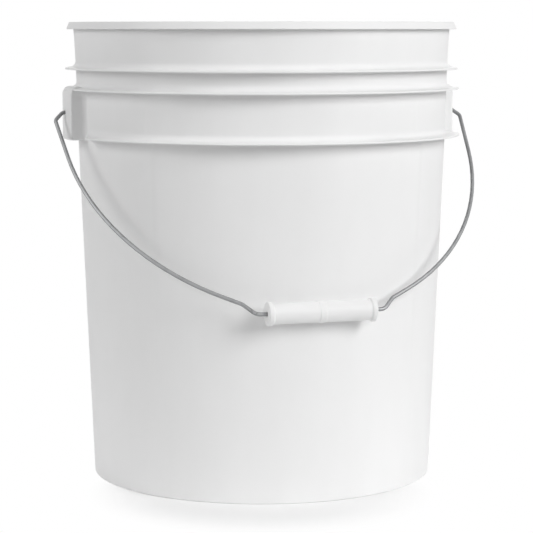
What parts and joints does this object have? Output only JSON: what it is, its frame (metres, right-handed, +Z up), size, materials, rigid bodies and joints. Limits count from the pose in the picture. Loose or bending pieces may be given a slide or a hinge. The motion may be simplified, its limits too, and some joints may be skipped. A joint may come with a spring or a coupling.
{
  "type": "plastic pail",
  "caption": "Tapered white plastic pail with ribs below its rim, a wire bail that swings on moulded ears, and a hand grip that turns on the wire.",
  "frame": {"origin": "centre of the foot ring, on the surface the pail stands on", "axes": "+Z up along the pail's axis; X through the two ears, along the bail's hinge; -Y the front, where the bail hangs"},
  "size_m": [0.3354, 0.3123, 0.355],
  "materials": {
    "white_hdpe": "satin moulded white polyethylene",
    "galvanised_wire": "dull galvanised steel wire",
    "grip_plastic": "smooth satin white plastic"
  },
  "bodies": {
    "pail": {"pail_shell": "white_hdpe", "pail_rim": "white_hdpe", "rib_low_front": "white_hdpe", "rib_low_back": "white_hdpe", "rib_mid": "white_hdpe", "rib_high": "white_hdpe", "ear_left": "white_hdpe", "ear_right": "white_hdpe"},
    "bail": {"bail_wire": "galvanised_wire"},
    "grip": {"hand_grip": "grip_plastic"}
  },
  "joints": [
    {"name": "bail_swing", "type": "hinge", "parent": "pail", "child": "bail", "pos_m": [0, 0, 0.286], "axis": [-1, 0, 0], "range_deg": [0, 267.2]},
    {"name": "grip_spin", "type": "hinge", "parent": "bail", "child": "grip", "pos_m": [0, -0.14777, 0.14506], "axis": [1, 0, 0], "continuous": true}
  ]
}
